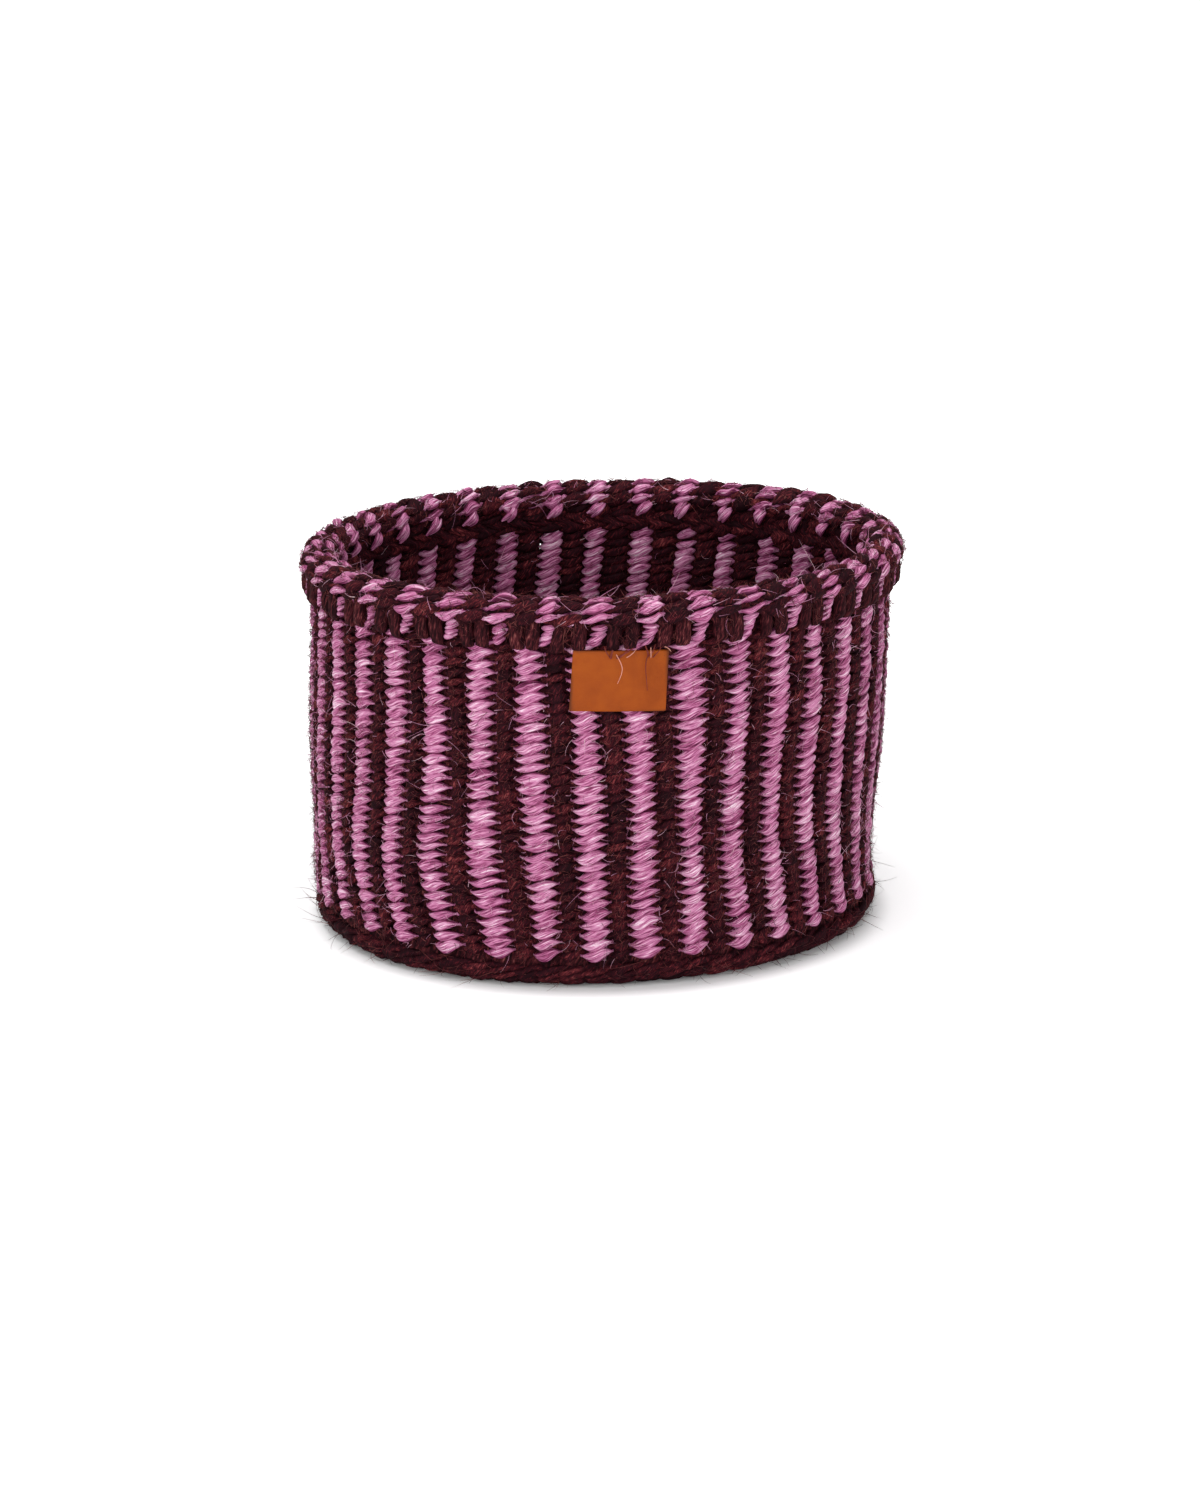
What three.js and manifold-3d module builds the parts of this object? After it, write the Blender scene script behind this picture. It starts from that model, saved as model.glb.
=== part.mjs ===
// A small round storage basket, twined from two colours of sisal over doubled warp cords.
// Each warp cord is a hairpin: its loop lies in the base, its two ends turn up at the heel as
// neighbouring uprights, and they fold outwards over the top of the wall. Two weft strands, one pink
// and one dark, go round the uprights. Where one of them shows outside, the other shows inside.
// Millimetres, +Z up. The origin is the middle of the base's underside, and the front faces -Y.
import * as THREE from 'three';
import { mergeVertices } from 'three/addons/utils/BufferGeometryUtils.js';
import Module from 'manifold-3d';

const wasm = await Module();
wasm.setup();

// Overall size
const basketHeight = 127;
const wallRadiusTop = 95.7;
const wallRadiusHeel = 93.6;
const heelInsideRadius = 1.2;
const heelUpright = 3.2;

// Cords and strands
const hairpinCount = 36;
const warpWidth = 2.6;
const warpDepth = 1.6;
const weftDepth = 1.8;
const clearance = 0.3;

// Base
const longSpokeStart = 42;
const shortSpokeStart = 64;
const loopLength = 2.4;

// Rim
const crestThickness = 3.6;
const crestInwardReach = 2;
const crestChamfer = 1.6;
const outerRoundThickness = 2;
const outerRoundHeight = 7;
const outerRoundChamfer = 0.8;
const foldedEndLength = 8.8;

// Leather tag, and the thread that sews it on
const tagWidth = 30;
const tagHeight = 20;
const tagThickness = 1.5;
const tagTurn = 3.2;
const threadThickness = 0.9;
const stitchHoleDrop = 2.6;
const edgeUnderStitches = 2.4;
const stitchDepth = 1.2;
const leftStitchAcross = -3.2;
const rightStitchAcross = 10;

// Where the pink stripes lie, in degrees from the front, and how curves are divided
const frontStripeTurn = -1.4;
const foldSteps = 2;
const heelSteps = 2;
const tagSteps = 4;

// Sizes that follow from those above
const uprightCount = 2 * hairpinCount;
const uprightTurn = 360 / uprightCount;
const middleDepth = weftDepth + clearance;
const innerDepth = middleDepth + warpDepth + clearance;
const wallThickness = innerDepth + weftDepth;
const warpInset = middleDepth + warpDepth / 2;
const heelRadius = heelInsideRadius + wallThickness;
const heelHeight = heelRadius + heelUpright;
const heelCentreRadius = wallRadiusHeel - heelRadius;
const hubRadius = Math.min(longSpokeStart, shortSpokeStart) - clearance;
const foldOuterRadius = wallRadiusTop + clearance + warpDepth / 2;
const foldInnerRadius = wallRadiusTop - warpInset;
const foldRadius = (foldOuterRadius - foldInnerRadius) / 2;
const crestUnderside = basketHeight - crestThickness;
const foldHeight = crestUnderside - clearance - warpDepth / 2 - foldRadius;
const wallTop = foldHeight - clearance;
const wallBottom = heelHeight + clearance;
const wallMiddle = (wallBottom + wallTop) / 2;
const foldedEnd = wallTop - foldedEndLength;
const outerRoundTop = crestUnderside - clearance;
const outerRoundInside = foldOuterRadius + warpDepth / 2 + clearance;
const rimRadius = outerRoundInside + outerRoundThickness;
const stitchTop = foldedEnd - clearance;
const tagTop = stitchTop - threadThickness - clearance;
const tagBottom = tagTop - tagHeight;
const flapTop = tagTop - stitchHoleDrop - edgeUnderStitches;
const tagInside = Math.max(wallRadiusAt(tagTop), wallRadiusAt(tagBottom)) + clearance;
const tagOutside = tagInside + tagThickness;

const pinkSisal = new THREE.MeshStandardMaterial({ color: 0xb5648f, roughness: 0.6, metalness: 0 });
const darkSisal = new THREE.MeshStandardMaterial({ color: 0x3a1519, roughness: 0.7, metalness: 0 });
const leather = new THREE.MeshStandardMaterial({ color: 0xb0621f, roughness: 0.55, metalness: 0 });

// The wall's outer radius at a height: it draws in from the top to the heel.
function wallRadiusAt(z) {
  return THREE.MathUtils.mapLinear(z, heelRadius, wallTop, wallRadiusHeel, wallRadiusTop);
}

const radians = THREE.MathUtils.degToRad;

// The turn in degrees that a distance makes along a circle of this radius.
const turnOf = (distance, radius) => THREE.MathUtils.radToDeg(distance / radius);

// A point in plan, at a radius and at a turn in degrees from the front, to the right.
const planPoint = (radius, turn) =>
  new THREE.Vector2(radius * Math.sin(radians(turn)), -radius * Math.cos(radians(turn)));

const counted = (count) => Array.from({ length: count }, (_, i) => i);

// Joins and cuts

function solidOf(geometry) {
  const bare = geometry.clone();
  bare.deleteAttribute('normal');
  bare.deleteAttribute('uv');
  const merged = mergeVertices(bare, 1e-4);
  const vertProperties = merged.attributes.position.array;
  const triVerts = new Uint32Array(merged.index.array);
  return new wasm.Manifold(new wasm.Mesh({ numProp: 3, vertProperties, triVerts }));
}

function geometryOf(solid) {
  const { vertProperties, triVerts } = solid.getMesh();
  const geometry = new THREE.BufferGeometry();
  geometry.setAttribute('position', new THREE.BufferAttribute(vertProperties, 3));
  geometry.setIndex(new THREE.BufferAttribute(triVerts, 1));
  return geometry;
}

const join = (solids) => solids.reduce((whole, next) => whole.add(next));

// Outlines and the solids made from them

function extruded(shape, depth) {
  return new THREE.ExtrudeGeometry(shape, { depth, bevelEnabled: false });
}

// A profile of points, each a radius and a height, turned round the basket's axis.
function turned(profile) {
  const start = radians(frontStripeTurn - uprightTurn / 2);
  return new THREE.LatheGeometry(profile, uprightCount, start).rotateX(Math.PI / 2);
}

const at = (radius, z) => new THREE.Vector2(radius, z);

function arc(centre, size, from, to, steps) {
  return counted(steps + 1).map((i) => {
    const angle = radians(from + ((to - from) * i) / steps);
    return at(centre.x + size * Math.cos(angle), centre.y + size * Math.sin(angle));
  });
}

// A line in the plane of radius and height, moved sideways by a distance.
function offsetLine(points, distance) {
  return points.map((point, i) => {
    const before = points[i - 1] ?? point;
    const after = points[i + 1] ?? point;
    const into = (i > 0 ? point.clone().sub(before) : after.clone().sub(point)).normalize();
    const out = (after !== point ? after.clone().sub(point) : into.clone()).normalize();
    const middle = into.clone().add(out).normalize();
    const reach = distance / middle.dot(out);
    return at(point.x - middle.y * reach, point.y + middle.x * reach);
  });
}

// An outline in the plane of radius and height, given a width across and stood at a turn.
function standAt(outline, width, turn) {
  return extruded(new THREE.Shape(outline), width)
    .translate(0, 0, -width / 2)
    .rotateX(Math.PI / 2)
    .rotateZ(radians(turn - 90));
}

// Warp cords

const hairpins = counted(hairpinCount);
const hairpinTurn = (hairpin) => frontStripeTurn + (2 * hairpin + 0.5) * uprightTurn;
const heelCentre = at(heelCentreRadius, heelRadius);

// The middle line of an upright: out along the base, up the wall, over the fold and down outside.
function uprightLine(start) {
  const foldCentre = at((foldOuterRadius + foldInnerRadius) / 2, foldHeight);
  return [
    at(start, warpInset),
    ...arc(heelCentre, heelRadius - warpInset, -90, 0, heelSteps),
    ...arc(foldCentre, foldRadius, 180, 0, foldSteps),
    at(wallRadiusAt(foldedEnd) + clearance + warpDepth / 2, foldedEnd),
  ];
}

function warpHairpin(hairpin) {
  const start = hairpin % 2 ? shortSpokeStart : longSpokeStart;
  const line = uprightLine(start);
  const outline = [...offsetLine(line, warpDepth / 2), ...offsetLine(line, -warpDepth / 2).reverse()];
  const turns = [-0.5, 0.5].map((side) => hairpinTurn(hairpin) + side * uprightTurn);
  const legs = turns.map((turn) => solidOf(standAt(outline, warpWidth, turn)));
  const span = 2 * start * Math.sin(radians(uprightTurn / 2)) + warpWidth;
  const loop = new THREE.BoxGeometry(loopLength, span, warpDepth)
    .translate(start + loopLength / 2, 0, warpInset)
    .rotateZ(radians(hairpinTurn(hairpin) - 90));
  return geometryOf(join([...legs, solidOf(loop)]));
}

// Weft of the base and the heel: one layer under and outside the spokes, and one over and inside
// them, joined within the ring of hairpin loops.
function baseWeft() {
  const spokeLine = [
    at(hubRadius, warpInset),
    ...arc(heelCentre, heelRadius - warpInset, -90, 0, heelSteps),
    at(wallRadiusHeel - warpInset, heelHeight),
  ];
  const farSide = offsetLine(spokeLine, -warpInset);
  const farSpokeSide = offsetLine(spokeLine, weftDepth - warpInset);
  const nearSpokeSide = offsetLine(spokeLine, innerDepth - warpInset);
  const nearSide = offsetLine(spokeLine, wallThickness - warpInset);
  return turned([
    at(0, 0),
    ...farSide.slice(1),
    ...farSpokeSide.reverse(),
    ...nearSpokeSide,
    ...nearSide.slice(1).reverse(),
    at(0, wallThickness),
  ]);
}

// Weft of the wall

const stripeHalf = uprightTurn / 2 - turnOf(clearance, wallRadiusTop) / 2;
const warpRoomHalf = turnOf(warpWidth / 2 + clearance, wallRadiusTop);

// A corner of a strand in plan, at a depth from the wall's face and at a turn from an upright.
const strandCorner = (upright, turn, depth) =>
  planPoint(wallRadiusTop - depth, frontStripeTurn + upright * uprightTurn + turn);

// One stripe of a strand where it covers an upright, from one depth to another.
function stripe(upright, nearDepth, farDepth) {
  const corners = [
    strandCorner(upright, -stripeHalf, nearDepth),
    strandCorner(upright, stripeHalf, nearDepth),
    strandCorner(upright, stripeHalf, farDepth),
    strandCorner(upright, -stripeHalf, farDepth),
  ];
  return extruded(new THREE.Shape(corners), wallTop - wallBottom).translate(0, 0, wallBottom);
}

// The part of a strand that goes to and fro between the wall's outer and inner layers.
function crossings(outerParity, bottom, top) {
  const outline = [];
  const hole = [];
  counted(uprightCount).forEach((upright) => {
    const across = (half, depth) => [-half, half].map((turn) => strandCorner(upright, turn, depth));
    if (upright % 2 === outerParity) {
      const [left, right] = across(stripeHalf, middleDepth);
      outline.push(left, ...across(stripeHalf, 0), right);
      hole.push(...across(warpRoomHalf, weftDepth));
    } else {
      const [left, right] = across(stripeHalf, innerDepth - clearance);
      outline.push(...across(warpRoomHalf, innerDepth));
      hole.push(left, ...across(stripeHalf, wallThickness), right);
    }
  });
  const ring = new THREE.Shape(outline);
  ring.holes.push(new THREE.Path(hole));
  return extruded(ring, top - bottom).translate(0, 0, bottom);
}

// Moves each corner of a straight wall in or out to the tapered wall, at the same depth in it.
function tapered(geometry) {
  const corners = geometry.attributes.position;
  counted(corners.count).forEach((i) => {
    const inward = wallRadiusTop - wallRadiusAt(corners.getZ(i));
    const scale = 1 - inward / Math.hypot(corners.getX(i), corners.getY(i));
    corners.setXY(i, corners.getX(i) * scale, corners.getY(i) * scale);
  });
  return geometry;
}

// One strand with all its rounds joined. The strands swap layers between the uprights, each in its
// own half of the wall's height.
function wallWeft(outerParity, bottom, top) {
  const stripes = counted(uprightCount).map((upright) =>
    upright % 2 === outerParity ? stripe(upright, 0, weftDepth) : stripe(upright, innerDepth, wallThickness),
  );
  const whole = join([crossings(outerParity, bottom, top), ...stripes].map(solidOf));
  return geometryOf(solidOf(tapered(geometryOf(whole))).subtract(stitchRoom()));
}

// Rim

function crestRound() {
  const outside = rimRadius - outerRoundChamfer;
  const inside = wallRadiusTop - wallThickness - crestInwardReach;
  return turned([
    at(inside, crestUnderside),
    at(outside, crestUnderside),
    at(outside, basketHeight - crestChamfer),
    at(outside - crestChamfer, basketHeight),
    at(inside + crestChamfer, basketHeight),
    at(inside, basketHeight - crestChamfer),
    at(inside, crestUnderside),
  ]);
}

function outerRound() {
  const bottom = outerRoundTop - outerRoundHeight;
  return turned([
    at(outerRoundInside, bottom),
    at(rimRadius - outerRoundChamfer, bottom),
    at(rimRadius, bottom + outerRoundChamfer),
    at(rimRadius, outerRoundTop - outerRoundChamfer),
    at(rimRadius - outerRoundChamfer, outerRoundTop),
    at(outerRoundInside, outerRoundTop),
    at(outerRoundInside, bottom),
  ]);
}

// Tag and stitches

// The thread goes over the tag's top edge, with one end above the tag and the other through a hole.
// With room set, this is the space that the thread needs in what it passes through.
function stitch(across, room = 0) {
  const inside = wallRadiusAt(tagTop) - stitchDepth - room;
  const barInside = tagOutside + clearance - room;
  const width = threadThickness + 2 * room;
  const top = stitchTop + room;
  const bottom = tagTop - stitchHoleDrop - room;
  const outline = [
    at(inside, bottom),
    at(barInside + width, bottom),
    at(barInside + width, top),
    at(inside, top),
    at(inside, top - width),
    at(barInside, top - width),
    at(barInside, bottom + width),
    at(inside, bottom + width),
  ];
  return standAt(outline, width, tagTurn + turnOf(across, tagInside));
}

function stitchRoom() {
  return join([leftStitchAcross, rightStitchAcross].map((across) => solidOf(stitch(across, clearance))));
}

// A curved plate of leather between two heights, lying against the wall.
function tagPlate(bottom, top) {
  const half = turnOf(tagWidth / 2, tagInside);
  const turns = counted(tagSteps + 1).map((i) => tagTurn - half + (2 * half * i) / tagSteps);
  const face = turns.map((turn) => planPoint(tagOutside, turn));
  const back = turns.map((turn) => planPoint(tagInside, turn)).reverse();
  return extruded(new THREE.Shape([...face, ...back]), top - bottom).translate(0, 0, bottom);
}

// The basket

const basket = new THREE.Group();

function place(name, geometry, material) {
  const mesh = new THREE.Mesh(geometry, material);
  mesh.name = name;
  basket.add(mesh);
}

place('base_weft', baseWeft(), darkSisal);
place('wall_weft_pink', wallWeft(0, wallMiddle + clearance / 2, wallTop), pinkSisal);
place('wall_weft_dark', wallWeft(1, wallBottom, wallMiddle - clearance / 2), darkSisal);
hairpins.forEach((hairpin) => {
  place(`warp_hairpin_${String(hairpin + 1).padStart(2, '0')}`, warpHairpin(hairpin), darkSisal);
});
place('rim_outer_round', outerRound(), pinkSisal);
place('rim_crest_round', crestRound(), darkSisal);
place('tag_sewn_edge', geometryOf(solidOf(tagPlate(flapTop, tagTop)).subtract(stitchRoom())), leather);
place('tag_flap', tagPlate(tagBottom, flapTop - clearance), leather);
place('tag_stitch_left', stitch(leftStitchAcross), darkSisal);
place('tag_stitch_right', stitch(rightStitchAcross), darkSisal);

export default basket;
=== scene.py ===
# %% [markdown]
# # A small basket, twined from pink and dark sisal
# The real basket is made of long fibres and nothing else. Stiff cords stand up all round, and two soft
# strands go round them, one in front of a cord while the other passes behind it, and swap places in
# the gap. The pink strand is in front at every second cord, so the stitches pile up into stripes.
# A flat texture would give the colours, but not the pointed stitches, the scalloped edges of the
# stripes or the deep gaps, so here each strand is real geometry that weaves in and out.

import math

import bmesh
import bpy
import numpy as np
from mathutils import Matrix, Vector


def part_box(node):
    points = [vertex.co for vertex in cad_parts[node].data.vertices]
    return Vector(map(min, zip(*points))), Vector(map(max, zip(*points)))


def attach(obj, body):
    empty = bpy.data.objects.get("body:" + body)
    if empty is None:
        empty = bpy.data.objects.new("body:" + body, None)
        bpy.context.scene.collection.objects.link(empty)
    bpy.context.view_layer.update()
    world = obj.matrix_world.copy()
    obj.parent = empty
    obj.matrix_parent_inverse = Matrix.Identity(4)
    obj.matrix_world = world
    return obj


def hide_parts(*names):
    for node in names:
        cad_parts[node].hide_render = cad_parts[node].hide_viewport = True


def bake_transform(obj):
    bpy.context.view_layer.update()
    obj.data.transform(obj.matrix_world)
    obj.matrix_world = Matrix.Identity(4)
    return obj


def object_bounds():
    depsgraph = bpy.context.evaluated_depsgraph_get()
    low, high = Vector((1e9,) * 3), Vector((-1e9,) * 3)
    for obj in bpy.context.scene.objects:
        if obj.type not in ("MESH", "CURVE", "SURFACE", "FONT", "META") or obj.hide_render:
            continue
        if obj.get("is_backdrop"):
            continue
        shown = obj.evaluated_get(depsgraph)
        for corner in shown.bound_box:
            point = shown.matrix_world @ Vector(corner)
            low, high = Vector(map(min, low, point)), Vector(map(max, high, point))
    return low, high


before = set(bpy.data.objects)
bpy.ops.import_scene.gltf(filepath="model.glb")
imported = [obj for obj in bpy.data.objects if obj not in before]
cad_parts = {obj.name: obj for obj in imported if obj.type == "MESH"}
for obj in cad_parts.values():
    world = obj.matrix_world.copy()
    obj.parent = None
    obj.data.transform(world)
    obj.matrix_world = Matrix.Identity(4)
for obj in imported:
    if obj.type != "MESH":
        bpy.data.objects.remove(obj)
cad_low, cad_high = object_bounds()
mm = 0.001
print("solids loaded:", len(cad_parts))

# %% [markdown]
# ## Sizes
# Every size comes from the solids or is named once, where it is first needed. The uprights stand
# 5 degrees apart, and one round of twining is a little over 3 mm high, as it is on a basket that was
# beaten down by hand. A turn is an angle round the basket, from the front towards the right.

# %% Sizes of the weave
uprights = 72
upright_turn = math.radians(360 / uprights)
stripe_turn = math.radians(-1.4)
heel_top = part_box("base_weft")[1].z
wall_radius_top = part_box("wall_weft_pink")[1].x
rim_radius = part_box("rim_outer_round")[1].x
basket_height = cad_high.z
wall_thickness = 5.8 * mm
round_pitch = 3.2 * mm
heel_radius = 5.5 * mm
rim_underside = 111.6 * mm
chance = np.random.default_rng(12)
print("rim radius", round(rim_radius, 4), "height", round(basket_height, 4))

# %% [markdown]
# ## The handmade shape
# No basket like this is a true cylinder. The wall is drawn in a little near the heel, the whole leans
# a few millimetres, one side of the rim is higher, and the foot spreads at the right. The solids keep
# the true shape, so these faults are put in by moving every point of every woven piece, fibre and
# leather with one function. The soft steps and humps defined here serve the weave too.

# %% The wall's outline and its faults
foot_radius = wall_radius_top - 1.7 * mm
flare = 2.3 * mm
lean = 6.4 * mm
rise_to_right = 0.0035
wall_bulge = 0.5 * mm
foot_spread = 2 * mm
foot_pinch = 0.9 * mm
table_gap = 0.05 * mm


def smooth(x, low, high):
    """A soft step, from 0 at low to 1 at high."""
    t = np.clip((x - low) / (high - low), 0, 1)
    return t * t * (3 - 2 * t)


def fade(x, low, high):
    """A soft step downwards, from 1 at low to 0 at high."""
    return smooth(-x, -high, -low)


def hump(x, middle, width):
    """A soft hump, 1 in the middle."""
    return np.exp(-(((x - middle) / width) ** 2))


def wall_radius(z):
    """The outer radius of the wall at a height."""
    return foot_radius + flare * smooth(z, 24 * mm, 66 * mm)


def handmade(points):
    """Leans, bulges and lifts the points, spreads the foot and keeps all off the table."""
    x, y, z = np.moveaxis(np.array(points, float), -1, 0)
    turn = np.arctan2(x, -y)
    bulge = wall_bulge * np.sin(3 * turn + 1.0) * smooth(z, 0, basket_height)
    spread = foot_spread * smooth(np.sin(turn), 0.2, 0.75) - foot_pinch * smooth(-np.sin(turn), 0.75, 0.97)
    spread = spread * fade(z, 5 * mm, 16 * mm) * smooth(np.hypot(x, y), 70 * mm, 88 * mm)
    reach = 1 + (bulge + spread) / wall_radius_top
    leaned = x * reach + lean * (z / basket_height - 0.5)
    lifted = z * (1 + rise_to_right * x / rim_radius)
    return np.stack([leaned, y * reach, np.maximum(lifted, table_gap)], -1)


print("radius at the heel", round(float(wall_radius(10 * mm)), 4))

# %% [markdown]
# ## From rows of points to a mesh
# A strand is a tube whose section changes all the way along. Curves with a bevel can taper, but they
# can't flatten and turn their section as a soft strand does, so each strand is a grid of points:
# steps along it by points around it. One helper joins such grids into a mesh and adds what the
# materials need: how far along and around the strand each corner lies, and a tone for each stitch.
# Each tube begins at another place along the fibres, so that no two look alike.

# %% Tubes from grids of points
strand_girth = 8.0
fibre_offset = 37


def new_object(name, data):
    """Puts a mesh, a lamp or the camera into the scene."""
    made = bpy.data.objects.new(name, data)
    bpy.context.scene.collection.objects.link(made)
    return made


def tube_faces(steps, around, closed):
    """Corner numbers of the four-sided faces of one tube."""
    last = steps if closed else steps - 1
    i, j = np.meshgrid(np.arange(last), np.arange(around), indexing="ij")
    ahead, beside = (i + 1) % steps, (j + 1) % around
    corners = [i * around + j, ahead * around + j, ahead * around + beside, i * around + beside]
    return np.stack(corners, -1).reshape(-1, 4), i.ravel(), j.ravel()


def tubes_to_mesh(name, grids, closed, tones, girth=strand_girth * mm):
    """One mesh from tubes, each steps x around x 3, moved by the hand's faults."""
    vertices, faces, places, tone_values, caps = [], [], [], [], []
    start = 0
    for number, (grid, tone) in enumerate(zip(grids, tones)):
        grid = handmade(grid)
        steps, around = grid.shape[:2]
        quads, i, j = tube_faces(steps, around, closed)
        middle = grid.mean(1)
        ahead = np.roll(middle, -1, 0) if closed else middle[1:]
        lengths = np.linalg.norm(ahead - middle[: len(ahead)], axis=1)
        along = np.concatenate([[0], np.cumsum(lengths)]) / mm + fibre_offset * number
        around_mm = np.arange(around + 1) / around * girth / mm
        corner_i = np.stack([i, i + 1, i + 1, i], -1)
        corner_j = np.stack([j, j, j + 1, j + 1], -1)
        places.append(np.stack([along[corner_i], around_mm[corner_j]], -1).reshape(-1, 2))
        vertices.append(grid.reshape(-1, 3))
        faces.append(quads + start)
        tone_values.append(np.repeat(tone, around))
        if not closed:
            caps.append(start + np.arange(around)[::-1])
            caps.append(start + (steps - 1) * around + np.arange(around))
        start += steps * around
    parts = [np.concatenate(part) for part in (vertices, faces, places, tone_values)]
    return mesh_from_arrays(name, caps, *parts)


def mesh_from_arrays(name, caps, vertices, quads, places, tones):
    """A smooth mesh from arrays: much quicker than one call for each face."""
    mesh = bpy.data.meshes.new(name)
    cap_corners = np.concatenate(caps) if caps else np.zeros(0, int)
    corners = np.concatenate([quads.ravel(), cap_corners])
    sizes = np.concatenate([np.full(len(quads), 4), [len(cap) for cap in caps]]).astype(np.int32)
    mesh.vertices.add(len(vertices))
    mesh.vertices.foreach_set("co", vertices.astype(np.float32).ravel())
    mesh.loops.add(len(corners))
    mesh.loops.foreach_set("vertex_index", corners.astype(np.int32))
    mesh.polygons.add(len(sizes))
    mesh.polygons.foreach_set("loop_start", (np.cumsum(sizes) - sizes).astype(np.int32))
    mesh.update(calc_edges=True)
    mesh.polygons.foreach_set("use_smooth", np.ones(len(sizes), bool))
    strand_map = mesh.uv_layers.new(name="strand")
    all_places = np.concatenate([places, np.zeros((len(cap_corners), 2))])
    strand_map.uv.foreach_set("vector", all_places.astype(np.float32).ravel())
    tone = mesh.attributes.new("tone", "FLOAT", "POINT")
    tone.data.foreach_set("value", tones.astype(np.float32))
    mesh.validate()
    return new_object(name, mesh)


print("a tube of 3 steps by 4 points has", len(tube_faces(3, 4, False)[0]), "faces")

# %% [markdown]
# A piece is finished the same way each time: it gets the material of its finish, which pairs a
# material with the name of a slot, it rides on the basket, and the solids that it stands for are hidden.

# %% Finishing a piece


def dress(piece, finish, *replaced):
    """Gives a piece the material of its finish and its body, and hides the solids that it replaces."""
    material, slot = finish
    piece.data.materials.append(material)
    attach(piece, "basket")
    if replaced:
        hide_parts(*replaced)
    return piece


def woven_piece(name, strands, finish, *replaced):
    """One piece from closed strands, each a grid of points and a tone for every step."""
    grids, tones = zip(*strands)
    dress(tubes_to_mesh(name, grids, True, tones), finish, *replaced)


def round_points(r, turn, z):
    """Points from their radius, turn and height."""
    return np.stack([r * np.sin(turn), -r * np.cos(turn), z], -1)


print("a point at the front:", round_points(1.0, 0.0, 0.0))

# %% [markdown]
# ## The look of sisal
# Sisal is a leaf fibre with a silky shine. Close up a strand is hundreds of straight hairs that run
# along it, some paler and some darker, with fine grooves between them. One group of nodes makes that
# pattern from the place along and around the strand, so it follows every bend. It also gives out
# slow patches, the tone of the stitch and a mask of the strand's two edges, the creases between
# stitches, where painted shade goes. Every sisal material uses this group with its own colours.

# %% Fibres as a node group


def feed(made, values):
    """Gives the named sockets of a node their numbers and colours, or links from other nodes."""
    for socket, value in values.items():
        if isinstance(value, bpy.types.NodeSocket):
            made.id_data.links.new(value, made.inputs[socket])
        else:
            made.inputs[socket].default_value = value


def node(tree, kind, values=None, **settings):
    """A new node with its settings and what its sockets get."""
    made = tree.nodes.new(kind)
    for key, value in settings.items():
        setattr(made, key, value)
    feed(made, values or {})
    return made


def math_node(tree, operation, *given):
    """The output of a math node whose inputs are numbers or other outputs."""
    return node(tree, "ShaderNodeMath", dict(enumerate(given)), operation=operation).outputs[0]


def fibre_group():
    group = bpy.data.node_groups.new("Sisal fibres", "ShaderNodeTree")
    for name, value in (("Fineness", 3.0), ("Length", 9.0), ("Twist", 0.1)):
        socket = group.interface.new_socket(name, in_out="INPUT", socket_type="NodeSocketFloat")
        socket.default_value = value
    for name in ("Streaks", "Patches", "Stitch tone", "Painted edge shade"):
        group.interface.new_socket(name, in_out="OUTPUT", socket_type="NodeSocketFloat")
    given = node(group, "NodeGroupInput").outputs
    place = node(group, "ShaderNodeUVMap", uv_map="strand").outputs[0]
    parts = node(group, "ShaderNodeSeparateXYZ", {0: place}).outputs
    tone = node(group, "ShaderNodeAttribute", attribute_name="tone").outputs["Fac"]
    slide = math_node(group, "MULTIPLY", parts[0], given["Twist"])
    across = math_node(group, "ADD", parts[1], slide)
    fine = math_node(group, "MULTIPLY", across, given["Fineness"])
    along = math_node(group, "DIVIDE", parts[0], given["Length"])
    layer = math_node(group, "MULTIPLY", tone, 40.0)
    fibres = node(group, "ShaderNodeCombineXYZ", {0: along, 1: fine, 2: layer}).outputs[0]
    streaky = {"Vector": fibres, "Scale": 1.0, "Detail": 3.0, "Roughness": 0.6}
    patchy = {"Vector": place, "Scale": 0.35, "Detail": 2.0}
    # the strand's two edges, the creases between stitches, give a mask for painted shade
    once_round = math_node(group, "MULTIPLY", parts[1], 2 * math.pi / strand_girth)
    painted_shade_wave = math_node(group, "ABSOLUTE", math_node(group, "COSINE", once_round))
    node(group, "NodeGroupOutput", {
        "Streaks": node(group, "ShaderNodeTexNoise", streaky).outputs["Fac"],
        "Patches": node(group, "ShaderNodeTexNoise", patchy).outputs["Fac"],
        "Stitch tone": tone,
        "Painted edge shade": math_node(group, "POWER", painted_shade_wave, 4.0),
    })
    return group


fibres_nodes = fibre_group()
print("sockets of the fibre group:", [s.name for s in fibres_nodes.interface.items_tree])

# %% [markdown]
# ## Sisal in its colours
# A colour ramp turns the streaks into dark hairs, dyed hairs and pale hairs, which the dye took less.
# The tone of each stitch and the patches shift the ramp, so neighbouring stitches differ as they do in
# hand-dyed fibre, and painted shade darkens the edges of a strand, the creases between stitches. The
# grooves drive a bump. Where the fibres are pale they are smoother, so they shine more.

# %% Sisal materials


def srgb(red, green, blue):
    """A colour read off a screen, as the linear numbers that the shader wants."""
    values = [c / 255 for c in (red, green, blue)]
    linear = [c / 12.92 if c <= 0.04045 else ((c + 0.055) / 1.055) ** 2.4 for c in values]
    return (*linear, 1.0)


def new_material(name):
    material = bpy.data.materials.new(name)
    material.use_nodes = True
    tree = material.node_tree
    return material, tree, tree.nodes["Principled BSDF"]


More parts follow.
